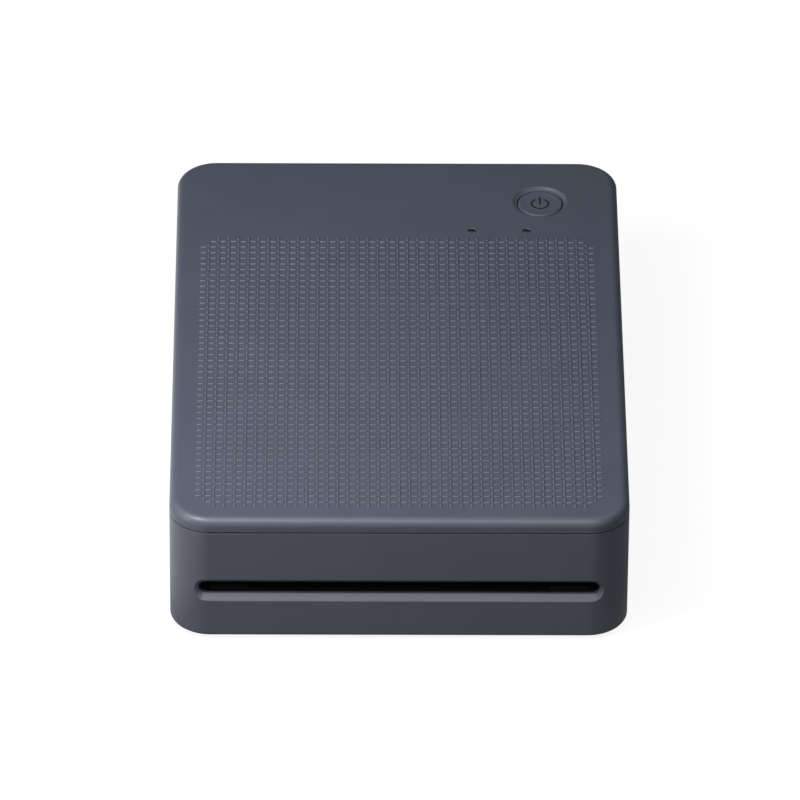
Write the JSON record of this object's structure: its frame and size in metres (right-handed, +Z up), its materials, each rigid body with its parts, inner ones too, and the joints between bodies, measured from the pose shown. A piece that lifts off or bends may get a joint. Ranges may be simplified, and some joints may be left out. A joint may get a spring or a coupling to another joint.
{
  "type": "compact photo printer",
  "caption": "Flat pocket photo printer with a rear-hinged top cover, round power button, two lamps, front exit slot and a side door for its ink cassette.",
  "frame": {"origin": "middle of the footprint, on the plane that the feet stand on", "axes": "-Y towards the front with the exit slot, +X to the right seen from the front, +Z up"},
  "size_m": [0.1022, 0.1458, 0.0329],
  "materials": {
    "slate_plastic": "fine matt texture",
    "dark_plastic": "matt",
    "cassette_plastic": "satin",
    "gear_plastic": "satin",
    "circuit_board": "solder mask",
    "lamp_window": "polished",
    "colour_film": "polished",
    "ceramic": "glazed",
    "cell_wrap": "shrink film",
    "steel": "drawn",
    "sheet_steel": "zinc plated",
    "aluminium": "extruded",
    "brass": "turned",
    "rubber": "matt"
  },
  "bodies": {
    "case": {"body_shell": "slate_plastic", "bottom_cover": "slate_plastic", "case_screws": "steel", "rubber_feet": "rubber", "lid_hinge_pins": "steel", "door_hinge_pin": "steel", "exit_guide": "dark_plastic", "inner_top_panel": "dark_plastic", "paper_tray": "dark_plastic", "hopper_springs": "steel", "release_spring": "steel", "chassis_frame": "sheet_steel", "shaft_bushes": "brass", "idler_studs": "steel", "head_motor": "sheet_steel", "feed_motor": "sheet_steel", "cassette_case": "cassette_plastic", "ribbon_film": "colour_film", "main_board": "circuit_board", "board_chips": "dark_plastic", "usb_port": "steel", "battery_pack": "cell_wrap"},
    "cover": {"lid_cover": "slate_plastic", "lid_inner_panel": "dark_plastic", "lid_board": "circuit_board", "indicator_lenses": "lamp_window"},
    "button": {"power_button": "slate_plastic"},
    "latch": {"release_slider": "slate_plastic"},
    "door": {"cassette_door": "slate_plastic"},
    "hopper": {"hopper_plate": "sheet_steel"},
    "capstan": {"capstan_roller": "steel", "capstan_gear": "gear_plastic", "drive_gear": "gear_plastic"},
    "pinch": {"pinch_roller": "rubber"},
    "pickup": {"pickup_shaft": "steel", "pickup_rollers": "rubber", "pickup_gear": "gear_plastic"},
    "platen": {"platen_shaft": "steel", "platen_rubber": "rubber"},
    "idler_rear": {"idler_gear_rear": "gear_plastic"},
    "idler_front": {"idler_gear_front": "gear_plastic"},
    "takeup": {"takeup_gear": "gear_plastic", "takeup_spool": "cassette_plastic"},
    "supply": {"supply_spool": "cassette_plastic"},
    "feed_rotor": {"feed_pinion": "brass"},
    "lift_shaft": {"cam_shaft": "steel", "head_cams": "gear_plastic", "cam_gear": "gear_plastic"},
    "print_head": {"thermal_head": "ceramic", "heat_sink": "aluminium"},
    "lift_idler_front": {"head_idler_front": "gear_plastic"},
    "lift_idler_rear": {"head_idler_rear": "gear_plastic"},
    "lift_rotor": {"head_pinion": "brass"}
  },
  "joints": [
    {"name": "cover_hinge", "type": "hinge", "parent": "case", "child": "cover", "pos_m": [0, 0.07, 0.0245], "axis": [-1, 0, 0], "range_deg": [0, 90]},
    {"name": "power_press", "type": "slide", "parent": "cover", "child": "button", "axis": [0, 0, -1], "range_m": [0, 0.0004], "stiffness_N_per_m": 400, "springref_m": -0.0005},
    {"name": "latch_slide", "type": "slide", "parent": "case", "child": "latch", "axis": [0, 1, 0], "range_m": [0, 0.003], "stiffness_N_per_m": 150, "springref_m": -0.001, "deforming": ["release_spring"]},
    {"name": "door_hinge", "type": "hinge", "parent": "case", "child": "door", "pos_m": [0.0501, 0, 0.015], "axis": [0, 1, 0], "range_deg": [0, 90]},
    {"name": "hopper_press", "type": "hinge", "parent": "case", "child": "hopper", "pos_m": [0, 0.062, 0.012], "axis": [1, 0, 0], "range_deg": [0, 2], "stiffness_Nm_per_rad": 0.5, "springref_deg": -2.86, "deforming": ["hopper_springs"]},
    {"name": "capstan_spin", "type": "hinge", "parent": "case", "child": "capstan", "pos_m": [0, -0.022, 0.0111], "axis": [1, 0, 0], "continuous": true},
    {"name": "pinch_spin", "type": "hinge", "parent": "case", "child": "pinch", "pos_m": [0, -0.022, 0.01665], "axis": [1, 0, 0], "continuous": true},
    {"name": "pickup_spin", "type": "hinge", "parent": "case", "child": "pickup", "pos_m": [0, -0.01065, 0.0185], "axis": [1, 0, 0], "continuous": true},
    {"name": "platen_spin", "type": "hinge", "parent": "case", "child": "platen", "pos_m": [0, -0.0449, 0.0096], "axis": [1, 0, 0], "continuous": true},
    {"name": "rear_idler_spin", "type": "hinge", "parent": "case", "child": "idler_rear", "pos_m": [0, -0.03349, 0.00997], "axis": [1, 0, 0], "continuous": true},
    {"name": "front_idler_spin", "type": "hinge", "parent": "case", "child": "idler_front", "pos_m": [0, -0.0462, 0.01295], "axis": [1, 0, 0], "continuous": true},
    {"name": "takeup_spin", "type": "hinge", "parent": "case", "child": "takeup", "pos_m": [0, -0.0563, 0.0204], "axis": [1, 0, 0], "continuous": true},
    {"name": "supply_spin", "type": "hinge", "parent": "case", "child": "supply", "pos_m": [0, -0.0335, 0.0204], "axis": [1, 0, 0], "continuous": true},
    {"name": "feed_motor_spin", "type": "hinge", "parent": "case", "child": "feed_rotor", "pos_m": [0, -0.03194, 0.00758], "axis": [1, 0, 0], "continuous": true},
    {"name": "head_lower", "type": "slide", "parent": "case", "child": "print_head", "axis": [0, 0, -1], "range_m": [0, 0.0025]},
    {"name": "lift_turn", "type": "hinge", "parent": "case", "child": "lift_shaft", "pos_m": [0, -0.0449, 0.0218], "axis": [1, 0, 0], "range_deg": [0, 180]},
    {"name": "front_lift_idler_turn", "type": "hinge", "parent": "case", "child": "lift_idler_front", "pos_m": [0, -0.03585, 0.0218], "axis": [1, 0, 0], "range_deg": [-225, 0]},
    {"name": "rear_lift_idler_turn", "type": "hinge", "parent": "case", "child": "lift_idler_rear", "pos_m": [0, -0.0278, 0.02174], "axis": [1, 0, 0], "range_deg": [0, 225]},
    {"name": "lift_motor_turn", "type": "hinge", "parent": "case", "child": "lift_rotor", "pos_m": [0, -0.021, 0.0236], "axis": [1, 0, 0], "range_deg": [-300, 0]}
  ],
  "couplings": [
    {"joint": "pinch_spin", "follows": "capstan_spin", "ratio": -0.89286},
    {"joint": "pickup_spin", "follows": "capstan_spin", "ratio": -0.58824},
    {"joint": "platen_spin", "follows": "capstan_spin", "ratio": 0.625},
    {"joint": "rear_idler_spin", "follows": "capstan_spin", "ratio": -0.76923},
    {"joint": "front_idler_spin", "follows": "capstan_spin", "ratio": 0.76923},
    {"joint": "takeup_spin", "follows": "capstan_spin", "ratio": -0.83333},
    {"joint": "supply_spin", "follows": "capstan_spin", "ratio": -0.51587},
    {"joint": "feed_motor_spin", "follows": "capstan_spin", "ratio": -2.5},
    {"joint": "lift_turn", "follows": "head_lower", "rad_per_m": 1256.6},
    {"joint": "front_lift_idler_turn", "follows": "head_lower", "rad_per_m": -1570.8},
    {"joint": "rear_lift_idler_turn", "follows": "head_lower", "rad_per_m": 1570.8},
    {"joint": "lift_motor_turn", "follows": "head_lower", "rad_per_m": -2094.4}
  ]
}
